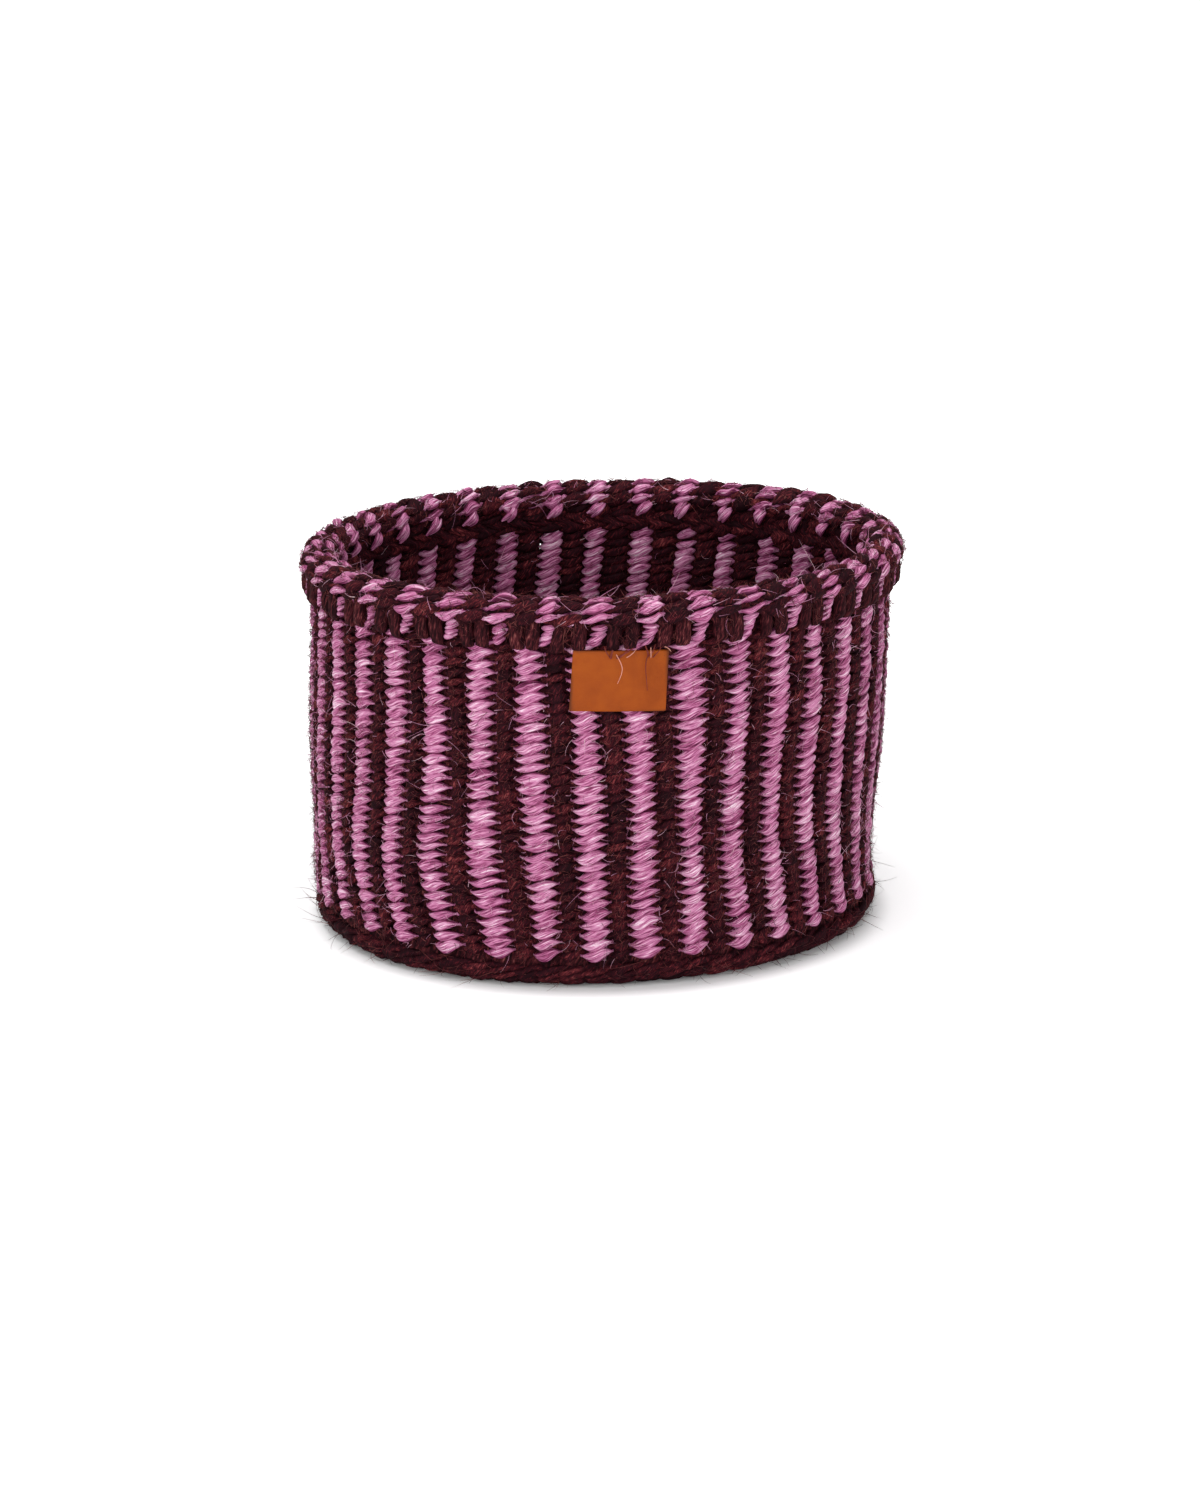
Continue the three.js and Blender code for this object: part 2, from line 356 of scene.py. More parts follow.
def ramp_node(tree, place, stops):
    """The colour at a place on a ramp, whose stops are places and colours read off a screen."""
    ramp = node(tree, "ShaderNodeValToRGB", {0: place})
    elements = ramp.color_ramp.elements
    colours = [(stop, srgb(*colour)) for stop, colour in stops.items()]
    elements[0].position, elements[0].color = colours[0]
    elements[1].position, elements[1].color = colours[-1]
    for stop, colour in colours[1:-1]:
        elements.new(stop).color = colour
    return ramp.outputs[0]


def sisal(
    name, stops, fineness=3.0, length=9.0, twist=0.1, roughness=0.45, bump=0.5, shine=0.35, edge=0.0,
    toned=0.22, patched=0.14,
):
    """Sisal in the colours of the stops; toned and patched say how much the shade may shift."""
    material, tree, shader = new_material(name)
    pattern = {"Fineness": fineness, "Length": length, "Twist": twist}
    fibres = node(tree, "ShaderNodeGroup", pattern, node_tree=fibres_nodes).outputs
    streaks = fibres["Streaks"]
    lighter = math_node(tree, "MULTIPLY_ADD", fibres["Stitch tone"], toned, -toned / 2)
    patchy = math_node(tree, "MULTIPLY_ADD", fibres["Patches"], patched, -patched / 2)
    uneven = math_node(tree, "ADD", math_node(tree, "ADD", streaks, lighter), patchy)
    # painted shade: edge darkens the strand's two edges, the creases between stitches
    shade = math_node(tree, "MULTIPLY_ADD", fibres["Painted edge shade"], -edge, uneven)
    rough = {"Value": streaks, "To Min": roughness + 0.15, "To Max": roughness - 0.1}
    grooves = {"Height": streaks, "Strength": bump, "Distance": 0.25 * mm}
    feed(shader, {
        "Base Color": ramp_node(tree, shade, stops),
        "Roughness": node(tree, "ShaderNodeMapRange", rough).outputs[0],
        "Normal": node(tree, "ShaderNodeBump", grooves).outputs[0],
        "Specular IOR Level": shine,
    })
    return material


# %% [markdown]
# The pink strand took a clear rose dye and is fine and smooth. The dark strand and the cords are a
# brown that is nearly black, rougher and with little shine.

# %% Pink, dark and cord
pink_stops = {
    0.3: (84, 20, 54), 0.41: (164, 74, 120), 0.5: (204, 122, 166), 0.58: (226, 156, 194),
    0.68: (255, 230, 242),
}
dark_stops = {0.34: (29, 10, 15), 0.5: (47, 14, 23), 0.62: (88, 27, 35), 0.76: (158, 78, 78)}
cord_stops = {0.3: (14, 4, 8), 0.48: (44, 14, 20), 0.62: (86, 33, 39), 0.78: (156, 92, 88)}
# in pink and dark sisal, edge says how much painted shade darkens the creases between stitches
pink_sisal = sisal(
    "Pink sisal", pink_stops, fineness=3.4, length=5.0, roughness=0.42, bump=1.0, shine=0.2, edge=0.16,
    toned=0.13, patched=0.05,
)
dark_sisal = sisal(
    "Dark sisal", dark_stops, fineness=2.6, length=1.1, twist=0.7, roughness=0.65, bump=1.0, shine=0.06,
    edge=0.07,
)
cord_sisal = sisal(
    "Cord sisal", cord_stops, fineness=3.4, length=2.4, twist=0.15, roughness=0.7, bump=1.0, shine=0.06
)
pink_finish, dark_finish = (pink_sisal, "pink_sisal"), (dark_sisal, "dark_sisal")
cord_finish = cord_sisal, "dark_sisal"
print("sisal materials:", pink_sisal.name, dark_sisal.name, cord_sisal.name)

# %% [markdown]
# ## Where the hand strays
# The stripes of the real basket are not straight. They lean, each side has slow bends of its own,
# and the pink strand is fuller in some places than in others. Where the rim begins, its columns sit a
# degree or two beside the stripes. Soft steps, humps and ripples say all this for any point. Their
# numbers are degrees, millimetres of height, and the sine of the turn, which is 1 at the right.

# %% Fullness, edge and drift


def fullness(turn, z):
    """How much longer the pink strand stays outside at a place than it does elsewhere."""
    height = z / mm
    slow = 0.07 * np.sin(5 * turn + height / 16) + 0.06 * np.sin(11 * turn - height / 9 + 2)
    quick = 0.05 * np.sin(29 * turn + height / 4.5) + 0.05 * np.sin(17 * turn - height / 6)
    back = 0.4 * smooth(-np.cos(turn), -0.1, 0.5)
    return slow + quick - 0.17 * smooth(np.sin(turn), 0.45, 0.9) - back


def edge_shift(turn):
    """How far the columns of the rim stray aside, in degrees."""
    right, back = np.sin(turn), smooth(-np.cos(turn), 0, 0.5)
    to_left = 0.9 * smooth(right, 0.08, 0.22) + 0.8 * smooth(right, 0.6, 0.75)
    return 1.5 * back + (1 - back) * (1.8 * smooth(-right, 0.12, 0.27) - to_left)


def drift(turn, z):
    """How far the strands stray aside at a height, in radians: as the wall does, then as the rim."""
    height, right, left = z / mm, np.sin(turn), -np.sin(turn)
    front = 0.35 + 0.65 * smooth(np.cos(turn), -0.5, 0.3)
    lean_aside = 2.0 - 4.4 * (height - 10) / 98
    left_bend = 1.4 * smooth(height, 70, 108) - 4.8 * hump(height, 35, 22)
    right_bend = -2.6 * smooth(height, 5, 50) - 1.2 * hump(height, 60, 16)
    waist = 1.2 * smooth(height, 70, 92) - 0.7 * hump(height, 45, 16)
    bends = (
        smooth(left, 0.1, 0.6) * left_bend
        + smooth(right, 0.2, 0.85) * right_bend
        - 0.9 * smooth(left, 0, 0.3) * smooth(height, 48, 72)
        + 1.6 * hump(right, -0.36, 0.16) * fade(height, 28, 48)
        + smooth(right, 0.2, 0.45) * waist
        - 1.4 * hump(right, 0.18, 0.12) * smooth(height, 82, 98)
        - 0.9 * smooth(left, 0.3, 0.5) * smooth(height, 84, 98)
    )
    ripple = 0.12 * np.sin(height / 9 + 13 * turn) + 0.15 * np.sin(height / 17 - 23 * turn)
    degrees = lean_aside + front * bends + ripple - 0.5 * smooth(-np.cos(turn), 0, 0.5)
    below_rim = fade(height, 111, 115)
    return np.radians(below_rim * degrees + (1 - below_rim) * edge_shift(turn))


print("drift at the front, low and high:", [round(float(drift(0.0, z * mm)), 3) for z in (10, 100)])

# %% [markdown]
# ## One round of twining
# Think of a strand as a wave that goes round the basket. It is outside at one upright and inside at
# the next, and in the gaps it crosses the other strand. Because the pair always turns the same way,
# each outside stitch rises to the right, which a second wave adds. The section is flat and wide over
# an upright and small where the strands cross, so each stitch looks like a leaf with two points.
# A shape holds the half sizes of the section over an upright (wide and deep) and in the gap (tip),
# how much wider the inside stitch is (inner), how the depth follows the width (keep), how far the
# strand swings in and out, how suddenly it dives between the cords, how far out the gap lies (bias),
# how much it climbs (slant), how pointed a stitch is, and how much longer the strand stays outside
# (skew, which stray lets vary with the fullness). Uneven, loose, aside and wander are the faults of
# a hand, and ridge is the twist that shows on the surface.

# %% Shapes of the strands in the wall
wall_shape = dict(
    wide=2.1 * mm, inner=1.1, tip=0.14 * mm, deep=1.3 * mm, keep=-0.45, swing=1.8 * mm, dive=0.45,
    bias=0.2 * mm, slant=0.75 * mm, point=1.1, skew=0.42, stray=1.0, uneven=0.17, loose=0.17 * mm,
    aside=0.3 * mm, wander=0.14 * mm, ridge=0.1,
)
dark_shape = dict(
    wall_shape, wide=1.95 * mm, inner=1.0, tip=0.24 * mm, deep=0.95 * mm, keep=0.15, swing=1.9 * mm,
    dive=0.75, point=0.9, skew=-0.42, stray=-1.0, ridge=0.16,
)
print("stitch height", round(2 * wall_shape["wide"] / mm, 2), "mm")

# %% [markdown]
# A round is worked out for all its steps at once. The faults are drawn once for each upright, so
# that every stitch has a width, depth, place and tone of its own.

# %% Strand waves
stitch_faults = ("wide", "deep", "along", "out", "slant", "aside", "tone")
fold_twist = 2 * math.pi / 3
inside_point = 0.6


def stitch_section(shape, wave, over, faults):
    """Half the width and half the depth of a strand at every step."""
    wide = shape["wide"] * (1 + shape["uneven"] * faults["wide"])
    wide = wide * np.where(wave < 0, shape["inner"], 1)
    point = shape["point"] * np.where(wave < 0, inside_point, 1)
    half_wide = shape["tip"] + (wide - shape["tip"]) * over**point
    half_deep = shape["deep"] * (shape["wide"] / half_wide) ** shape["keep"]
    return half_wide, half_deep * (1 + 0.5 * shape["uneven"] * faults["deep"])


def stitch_path(shape, wave, over, rise, turns, faults, phase):
    """How far a strand lies outwards and upwards of its round at every step."""
    out = shape["swing"] * np.sign(wave) * over ** shape["dive"] + shape["bias"] * (1 - over) ** 2
    out = out + shape["loose"] * faults["out"] * over**2
    up = shape["slant"] * rise * (1 + 0.3 * over * faults["slant"])
    up = up + 1.6 * shape["loose"] * faults["along"] * over**2
    up = up + shape["wander"] * (np.sin(2 * turns + phase[0]) + 0.6 * np.sin(5 * turns + phase[1]))
    return out[:, None], up[:, None]


def twined_round(line, count, outside_at, shape, steps=10, around=15, first_turn=stripe_turn):
    """The grid of one strand in one round, and its tone at every step.

    line gives the round's radius, height and the way that its outside faces, in radians: 0 is
    outwards and a quarter turn is up. outside_at is 0 or 1, the parity of its outside uprights.
    The round begins and ends at the back."""
    radius, height, facing = line
    place = 0.5 + np.arange(count * steps) / steps
    turns = 2 * math.pi * place / count
    turn = first_turn + math.pi + turns
    skew = shape["skew"] + shape["stray"] * fullness(turn, height)
    wave = np.cos(math.pi * (place - outside_at)) + skew
    rise = np.sin(math.pi * (place - outside_at))
    over = np.where(wave > 0, wave / (1 + skew), -wave / (1 - skew))
    upright = np.round(place).astype(int) % count
    faults = {key: chance.normal(0, 1, count).clip(-2, 2)[upright] for key in stitch_faults}
    phase = chance.uniform(0, 2 * math.pi, 3)
    half_wide, half_deep = stitch_section(shape, wave, over, faults)
    out, up = stitch_path(shape, wave, over, rise, turns, faults, phase)
    bend = 2 * math.pi * np.arange(around) / around
    folds = 1 + shape["ridge"] * np.cos(5 * bend + fold_twist * place[:, None] + phase[2])
    normal = out + np.sin(bend) * half_deep[:, None] * folds
    along = up + np.cos(bend) * half_wide[:, None] * folds
    facing_out, facing_up = math.cos(facing), math.sin(facing)
    r = radius + normal * facing_out - along * facing_up
    z = height + normal * facing_up + along * facing_out
    aside = shape["aside"] / radius * faults["aside"] * over**2
    turn = (turn + aside)[:, None]
    return round_points(r, turn + drift(turn, z), z), 0.5 + 0.22 * faults["tone"]


print("a stitch has", len(stitch_faults), "faults")

# %% [markdown]
# ## The wall
# The rounds are stacked from the heel to the rim. On the real basket they are one long spiral, but
# the climb is only one round in a whole turn, so closed rounds look the same. The pink strand and the
# dark strand are built alike, one upright apart. Each is cut into bands of a few rounds, which keeps
# the meshes at a size that is quick to handle. Under the rim the pink strand stops, and a second
# dark one goes on in its place.

# %% The wall's strands
first_round = heel_top + 0.6 * mm
last_round = rim_underside + 6 * mm
round_count = int(round((last_round - first_round) / round_pitch)) + 1
round_heights = np.linspace(first_round, last_round, round_count)
edge_height = 111.8 * mm
bands = 5


def wall_band(name, heights, outside_at, shape, finish, replaced):
    lines = [(wall_radius(z) - wall_thickness / 2, z, 0.0) for z in heights]
    strands = [twined_round(line, uprights, outside_at, shape) for line in lines]
    woven_piece(name, strands, finish, replaced)


pink_heights = [z for z in round_heights if z < edge_height]
edge_heights = [z for z in round_heights if z >= edge_height]
for band, heights in enumerate(np.array_split(pink_heights, bands), 1):
    wall_band(f"wall_pink_{band}", heights, 0, wall_shape, pink_finish, "wall_weft_pink")
for band, heights in enumerate(np.array_split(round_heights, bands), 1):
    wall_band(f"wall_dark_{band}", heights, 1, dark_shape, dark_finish, "wall_weft_dark")
wall_band("wall_dark_edge", edge_heights, 0, dark_shape, dark_finish, "wall_weft_dark")
print("rounds in the wall:", round_count)

# %% [markdown]
# ## The base and the heel
# The base is twined like the wall, but with two dark strands, from the start knot outwards. Fewer
# cords reach the middle, so there are fewer stitches in the inner rounds: new hairpins are put in as
# the base grows. At the heel the rounds turn upwards, and the last ones are thicker, like a rope.

# %% The dark rounds under the wall
base_shape = dict(
    dark_shape, wide=1.85 * mm, tip=1.15 * mm, deep=0.85 * mm, keep=0.4, swing=1.6 * mm, skew=0.0,
    stray=0.0, bias=0.0, dive=0.55, loose=0.1 * mm,
)
heel_shape = dict(
    dark_shape, wide=1.35 * mm, tip=0.9 * mm, deep=1.15 * mm, swing=1.0 * mm, slant=0.9 * mm,
    skew=0.0, stray=0.0, dive=0.55, uneven=0.22,
)
heel_middle = heel_radius - 1.9 * mm
heel_centre = wall_radius(heel_radius) - heel_radius
start_knot = 0.9 * mm
cords_from = {64 * mm: 72, 26 * mm: 36, 13 * mm: 18, 0.0: 9}


def cords_at(radius):
    """How many cords a round of the base crosses."""
    return next(count for start, count in cords_from.items() if radius >= start)


def heel_line(facing):
    r = heel_centre + heel_middle * math.cos(facing)
    return r, heel_radius + heel_middle * math.sin(facing), facing


def dark_rounds(name, lines, shape, counts, around):
    strands = [
        twined_round(line, count, outside_at, shape, steps=7, around=around)
        for line, count in zip(lines, counts)
        for outside_at in (0, 1)
    ]
    woven_piece(name, strands, dark_finish, "base_weft")


base_radii = np.arange(3 * mm, heel_centre - 1.2 * mm, round_pitch)
base_radii = np.concatenate([[start_knot], base_radii, [heel_centre - 0.4 * mm]])
base_lines = [(r, wall_thickness / 2, -math.pi / 2) for r in base_radii]
heel_lines = [heel_line(facing) for facing in np.radians([-86, -58, -30, -3])]
for aside, height in ((0.6, 5.2), (-0.4, 7.4), (-1.4, 10.0)):
    heel_lines.append((heel_centre + aside * mm, height * mm, 0.0))
base_counts = [cords_at(r) for r in base_radii]
inner = base_counts.index(uprights)
dark_rounds("base_middle", base_lines[:inner], base_shape, base_counts[:inner], 8)
dark_rounds("base_rounds", base_lines[inner:], base_shape, base_counts[inner:], 8)
dark_rounds("heel_rounds", heel_lines, heel_shape, [uprights] * len(heel_lines), 10)
print("rounds in the base:", len(base_lines), "and in the heel:", len(heel_lines))

# %% [markdown]
# ## The rim
# Over the top of the wall the strands go on round the folded cords, over the crest and down the
# inside. The stitches are looser there, and their rows differ in size. The rounds follow a half
# circle, so each one is given its own facing: outwards, up, and at last inwards. Under the crest the
# inside is lined with rounds of two dark strands, which make the dark band over the inner stripes.

# %% Stitches over the crest
roll_size = 4.3 * mm
roll_radius = rim_radius - 5.9 * mm
roll_height = basket_height - 6.4 * mm
lining_radius = roll_radius - roll_size + 1.7 * mm
rim_shape = dict(
    wide=1.5 * mm, inner=1.0, tip=0.3 * mm, deep=1.2 * mm, keep=0.1, swing=1.2 * mm, dive=0.55,
    bias=0.0, slant=0.7 * mm, point=0.6, skew=-0.14, stray=0.4, uneven=0.24, loose=0.38 * mm,
    aside=0.75 * mm, wander=0.12 * mm, ridge=0.05,
)
rim_dark_shape = dict(
    rim_shape, wide=1.8 * mm, swing=1.05 * mm, skew=0.06, stray=-0.4, uneven=0.2, ridge=0.12
)
row_sizes = {5: 1.1, 43: 1.15, 83: 1.2, 130: 1.45, 174: 1.3}
row_step = math.radians(0.2)
lining_size = 1.1
lining_drops = (2.6, 4.9, 7.2, 9.3)


def rim_line(facing):
    return roll_radius + roll_size * math.cos(facing), roll_height + roll_size * math.sin(facing), facing


def rim_rows(name, outside_at, shape, lines, sizes, finish):
    """Rounds of one strand over the rim, each a little further on than the last."""
    strands = []
    for row, (line, size) in enumerate(zip(lines, sizes)):
        fitted = dict(shape, wide=shape["wide"] * size)
        strands.append(
            twined_round(line, uprights, outside_at, fitted, 10, 12, stripe_turn + row * row_step)
        )
    woven_piece(name, strands, finish, "rim_crest_round", "rim_outer_round")


rows = [rim_line(facing) for facing in np.radians(list(row_sizes))]
sizes = list(row_sizes.values())
lining = [(lining_radius, roll_height - drop * mm, math.pi) for drop in lining_drops]
rim_rows("rim_pink", 0, rim_shape, rows, sizes, pink_finish)
rim_rows("rim_dark", 1, rim_dark_shape, rows, sizes, dark_finish)
for parity in (0, 1):
    lined = [lining_size] * len(lining)
    rim_rows(f"rim_lining_{parity + 1}", parity, rim_dark_shape, lining, lined, dark_finish)
print("rows over the rim:", len(rows), "and in its lining:", len(lining))

# %% [markdown]
# ## The warp cords
# Each cord is a hairpin. Its two ends run out along the base, turn up at the heel and stand in the
# wall between the strands, where they hardly show. At the top they fold outwards, and the last few
# millimetres lie against the wall as fat bundles under the rim. A cord is one tube: its path is
# worked out once for a leg and used for both, and its section, a half width and a half depth in mm,
# changes from a flat band in the wall to a fluted rope at the folded end.

# %% The path of one leg


def unit(rows):
    """The same directions, each of length 1."""
    return rows / np.linalg.norm(rows, axis=1, keepdims=True)


hairpin_count = uprights // 2
wall_middle = wall_thickness / 2
bundle_radius = wall_radius_top + 1.9 * mm
fold_height = basket_height - 7.5 * mm
bundle_end = rim_underside - 0.4 * mm
base_section = (1.2, 0.75)
wall_section = (4.9, 0.45)
fold_widths = (4.9, 4.8, 4.6, 4.0, 2.6)
bundle_section = (2.1, 1.7)


def leg_to_fold(start, first):
    """Rows from the loop in the base to the top of the wall."""
    rows = [(r, wall_middle, -math.pi / 2, first, *base_section) for r in np.linspace(start, heel_centre, 6)]
    for facing in np.radians([-68, -45, -22]):
        rows.append((*heel_line(facing), first, *base_section))
    for z in np.linspace(heel_radius, fold_height - 4 * mm, 14):
        rows.append((wall_radius(z) - wall_middle, z, 0.0, first, *wall_section))
    return rows


def leg_path(start, upright, end_lean):
    """Rows of radius, height, facing, turn and section, from the base to the folded end."""
    first = stripe_turn + upright * upright_turn
    rows = leg_to_fold(start, first)
    inside = wall_radius_top - wall_middle
    fold_middle, fold_size = (inside + bundle_radius) / 2, (bundle_radius - inside) / 2
    for step, bend in enumerate(np.radians([180, 140, 100, 60, 20])):
        r, z = fold_middle + fold_size * math.cos(bend), fold_height + fold_size * math.sin(bend)
        section = fold_widths[step], 0.7 + 0.15 * step
        rows.append((r, z, bend - math.pi, first + end_lean * step / 5, *section))
    last = first + end_lean
    drop = np.linspace(fold_height - 1 * mm, bundle_end + chance.normal(0, 0.4) * mm, 6)
    tilt = math.radians(chance.normal(0, 0.35))
    fat = chance.uniform(0.88, 1.08)
    for step, z in enumerate(drop[:-1]):
        swell = fat * (1 + 0.12 * math.sin(math.pi * step / 4))
        section = [size * swell for size in bundle_section]
        rows.append((bundle_radius, z, math.pi, last + tilt * step / 4, *section))
    last = last + tilt
    rows.append((bundle_radius - 0.4 * mm, drop[-1] - 0.1 * mm, math.pi, last, 2.0 * fat, 1.0))
    rows.append((bundle_radius - 0.9 * mm, drop[-1] - 0.6 * mm, math.pi, last, 1.2, 0.6))
    return np.array(rows)


print("a leg has", len(leg_to_fold(64 * mm, 0.0)), "rows up to its fold")

# %% [markdown]
# The rows of both legs make one tube. In the wall a cord follows the stripes, and its folded end
# follows the columns of the rim. The flutes are the few yarns that a bundle is laid from.

# %% Hairpins of warp cord
loop_radii = (42 * mm, 64 * mm)
even_end, odd_end = math.radians(3.35), math.radians(1.7)
unsteady = np.radians(0.25)


def hairpin_grid(hairpin, around=18):
    start = loop_radii[hairpin % 2]
    even, odd = leg_path(start, 2 * hairpin, even_end), leg_path(start, 2 * hairpin + 1, odd_end)
    radius, height, facing, turn, wide, deep = np.concatenate([even[::-1], odd]).T
    steps = len(radius)
    folded = radius > wall_radius_top
    turn = turn + drift(turn, np.where(folded, basket_height, height))
    turn = turn + unsteady * chance.normal(0, 1, steps).cumsum() * 0.1
    middle = round_points(radius, turn, height)
    outward = round_points(np.cos(facing), turn, np.sin(facing))
    side = unit(np.cross(np.gradient(middle, axis=0), outward))
    bend = 2 * math.pi * np.arange(around) / around
    twist = 0.35 * np.arange(steps)[:, None] + chance.uniform(0, 6)
    rope = fade(wide[:, None], 2.8, 3.5)
    flutes = 1 + rope * (0.05 * np.cos(7 * bend + 0.3 * twist) + 0.07 * np.cos(3 * bend - 0.4 * twist))
    across = np.cos(bend) * flutes * wide[:, None] * mm
    depth = np.sin(bend) * flutes * deep[:, None] * mm
    grid = middle[:, None] + side[:, None] * across[:, :, None] + outward[:, None] * depth[:, :, None]
    return grid, np.full(steps, chance.uniform(0.3, 0.7))


for hairpin in range(hairpin_count):
    grid, tone = hairpin_grid(hairpin)
    name = f"warp_hairpin_{hairpin + 1:02d}"
    cord = tubes_to_mesh(f"{name}_fibre", [grid], False, [tone])
    dress(cord, cord_finish, name)
print("hairpins:", hairpin_count)

# %% [markdown]
# ## Short pink stitches under the rim
# Between the folded bundles the pink strand shows as narrow columns of short stitches. Each is a
# small leaf that bulges out between two bundles, so short open tubes do, with closed ends.

# %% Columns of short stitches
column_stitches = 4
column_top = roll_height - 1.8 * mm
column_pitch = (column_top - rim_underside - 1 * mm) / column_stitches
column_radius = bundle_radius - 0.9 * mm
leaf_steps = 9


def short_stitch(radius, turn, z, width, high, tilt, side=1, around=10):
    """A leaf of strand on the outside (side 1) or the inside (side -1) of a radius."""
    place = np.linspace(-1, 1, leaf_steps)[:, None]
    arch = np.cos(place * math.pi / 2)
    half_high = (0.3 + 0.7 * arch**0.8) * high / 2
    half_deep = (0.4 + 0.6 * arch) * 0.85 * mm
    bend = 2 * math.pi * np.arange(around) / around
    lift = 1.4 * mm * arch + np.sin(bend) * half_deep
    tall, flat = tilt / math.hypot(tilt, width / 2), width / 2 / math.hypot(tilt, width / 2)
    across = np.cos(bend) * half_high
    height = z + tilt * place + across * flat
    angle = turn + (place * width / 2 - across * tall) / radius
    return round_points(radius + side * lift, angle, height)


def column_turn(column):
    turn = stripe_turn + column * 2 * upright_turn
    return turn + math.radians(edge_shift(turn))


def stitch_columns(name, grids, tones):
    dress(tubes_to_mesh(name, grids, False, tones), pink_finish)


stitch_grids, stitch_tones = [], []
for column in range(hairpin_count):
    shift = chance.normal(0.6, 0.35) * mm
    fall = chance.uniform(0.1, 0.6) * mm
    for row in range(column_stitches):
        turn = column_turn(column) + (shift - fall * row) / bundle_radius
        z = column_top - (row + 0.5) * column_pitch + chance.normal(0, 0.12) * mm
        width = (5.8 - 0.5 * row + chance.normal(0, 0.7)) * mm
        high = column_pitch * chance.uniform(0.95, 1.7)
        tilt = chance.normal(0.85, 0.45) * mm
        stitch_grids.append(short_stitch(column_radius, turn, z, width, high, tilt))
        stitch_tones.append(np.full(leaf_steps, chance.uniform(0.2, 0.8)))
stitch_columns("rim_pink_columns", stitch_grids, stitch_tones)
print("short stitches:", len(stitch_grids))

# %% [markdown]
# Inside, the last pink stitches under the rim go up steeply to the next row, three yarns side by
# side, half in shadow. The same leaf shape does, with more tilt, turned to face the middle.

# %% Leaning stitches inside the rim
leaning_radius = roll_radius - roll_size - 1.0 * mm
leaning_drop = 3.1
leaning_grids, leaning_tones = [], []
for column in range(hairpin_count):
    middle = chance.normal(0.9, 0.5)
    lean_by = chance.uniform(2.3, 3.4)
    for share in (-1, 0, 1):
        aside = middle + 0.85 * share + chance.normal(0, 0.2)
        turn = column_turn(column) + aside * mm / leaning_radius
        z = roll_height - (leaning_drop - 0.35 * share + chance.normal(0, 0.4)) * mm
        width, tilt = chance.uniform(2.8, 5.8) * mm, lean_by * chance.uniform(0.75, 1.1) * mm
        high = chance.uniform(1.9, 3.0) * mm
        leaning_grids.append(short_stitch(leaning_radius, turn, z, -width, high, tilt, side=-1))
        leaning_tones.append(np.full(leaf_steps, chance.uniform(0.1, 0.6)))
stitch_columns("rim_leaning_stitches", leaning_grids, leaning_tones)
print("leaning stitches:", len(leaning_grids))

# %% [markdown]
# ## The leather tag
# The tag is one strip of vegetable-tanned leather, thin, plain and slightly curved to the wall. Its
# colour is cloudy and its grain is a fine network of cells, which a bump shows. Its cut edges are
# darker, because cut leather takes up more oil: a value at each point of the mesh says where.

# %% Leather and thread


def leather_material():
    material, tree, shader = new_material("Tan leather")
    place = node(tree, "ShaderNodeTexCoord").outputs["Object"]
    cloudy = {"Vector": place, "Scale": 160, "Detail": 4}
    broad = node(tree, "ShaderNodeTexNoise", cloudy).outputs["Fac"]
    grain = node(tree, "ShaderNodeTexVoronoi", {"Vector": place, "Scale": 1700}).outputs["Distance"]
    plain = ramp_node(tree, broad, {0.3: (151, 65, 3), 0.5: (160, 71, 6), 0.7: (168, 78, 9)})
    edge = node(tree, "ShaderNodeAttribute", attribute_name="cut_edge").outputs["Fac"]
    darker = node(tree, "ShaderNodeMix", {0: edge, 6: plain, 7: srgb(104, 46, 14)}, data_type="RGBA")
    bump = node(tree, "ShaderNodeBump", {"Height": grain, "Strength": 0.4, "Distance": 0.12 * mm})
    rough = node(tree, "ShaderNodeMapRange", {"Value": broad, "To Min": 0.5, "To Max": 0.62})
    feed(shader, {
        "Base Color": darker.outputs[2],
        "Normal": bump.outputs[0],
        "Roughness": rough.outputs[0],
        "Specular IOR Level": 0.2,
    })
    return material


tan_leather = leather_material()
thread_stops = {0.3: (84, 24, 20), 0.55: (132, 44, 34), 0.8: (186, 104, 84)}
pale_thread_stops = {0.2: (206, 122, 112), 0.5: (228, 156, 138), 0.8: (244, 202, 180)}
thread = sisal("Dark thread", thread_stops, fineness=6.0, length=3.0, twist=0.8)
pale_thread = sisal("Pale thread", pale_thread_stops, fineness=6.0, length=3.0, twist=0.8)
print("leather and thread ready")

# %% [markdown]
# The tag's mesh is two grids of points, its face and its back, joined round the outline, and a bevel
# rounds the cut edge. The grids are fine enough to bend across the hinge. It lies just under the
# stitches.

# %% The tag's mesh
tag_turn = math.radians(3.2)
tag_tilt = math.radians(-1.8)
tag_width = 30 * mm
tag_high = 19 * mm
tag_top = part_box("tag_sewn_edge")[1].z + 0.8 * mm
tag_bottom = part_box("tag_flap")[0].z + 1.5 * mm
tag_thickness = 1.5 * mm
tag_face = 97.3 * mm
tag_columns, tag_rows = 28, 21


def tag_layers(made):
    """Rows of corners on the tag's face and on its back, which curl away from the wall."""
    across, down = np.linspace(-1, 1, tag_columns), np.linspace(0, 1, tag_rows)
    a, d = np.meshgrid(across, down, indexing="ij")
    height = tag_top + (tag_bottom - tag_top) * d + math.tan(tag_tilt) * a * tag_width / 2
    turn = tag_turn + (a * tag_width / 2 + math.tan(tag_tilt) * tag_high * d) / tag_face
    curl = 0.5 * mm * d**2 * np.abs(a) ** 2 + 0.25 * mm * d**2
    for depth in (0.0, tag_thickness):
        places = handmade(round_points(tag_face - depth + curl, turn, height))
        yield [[made.verts.new(p) for p in column] for column in places]


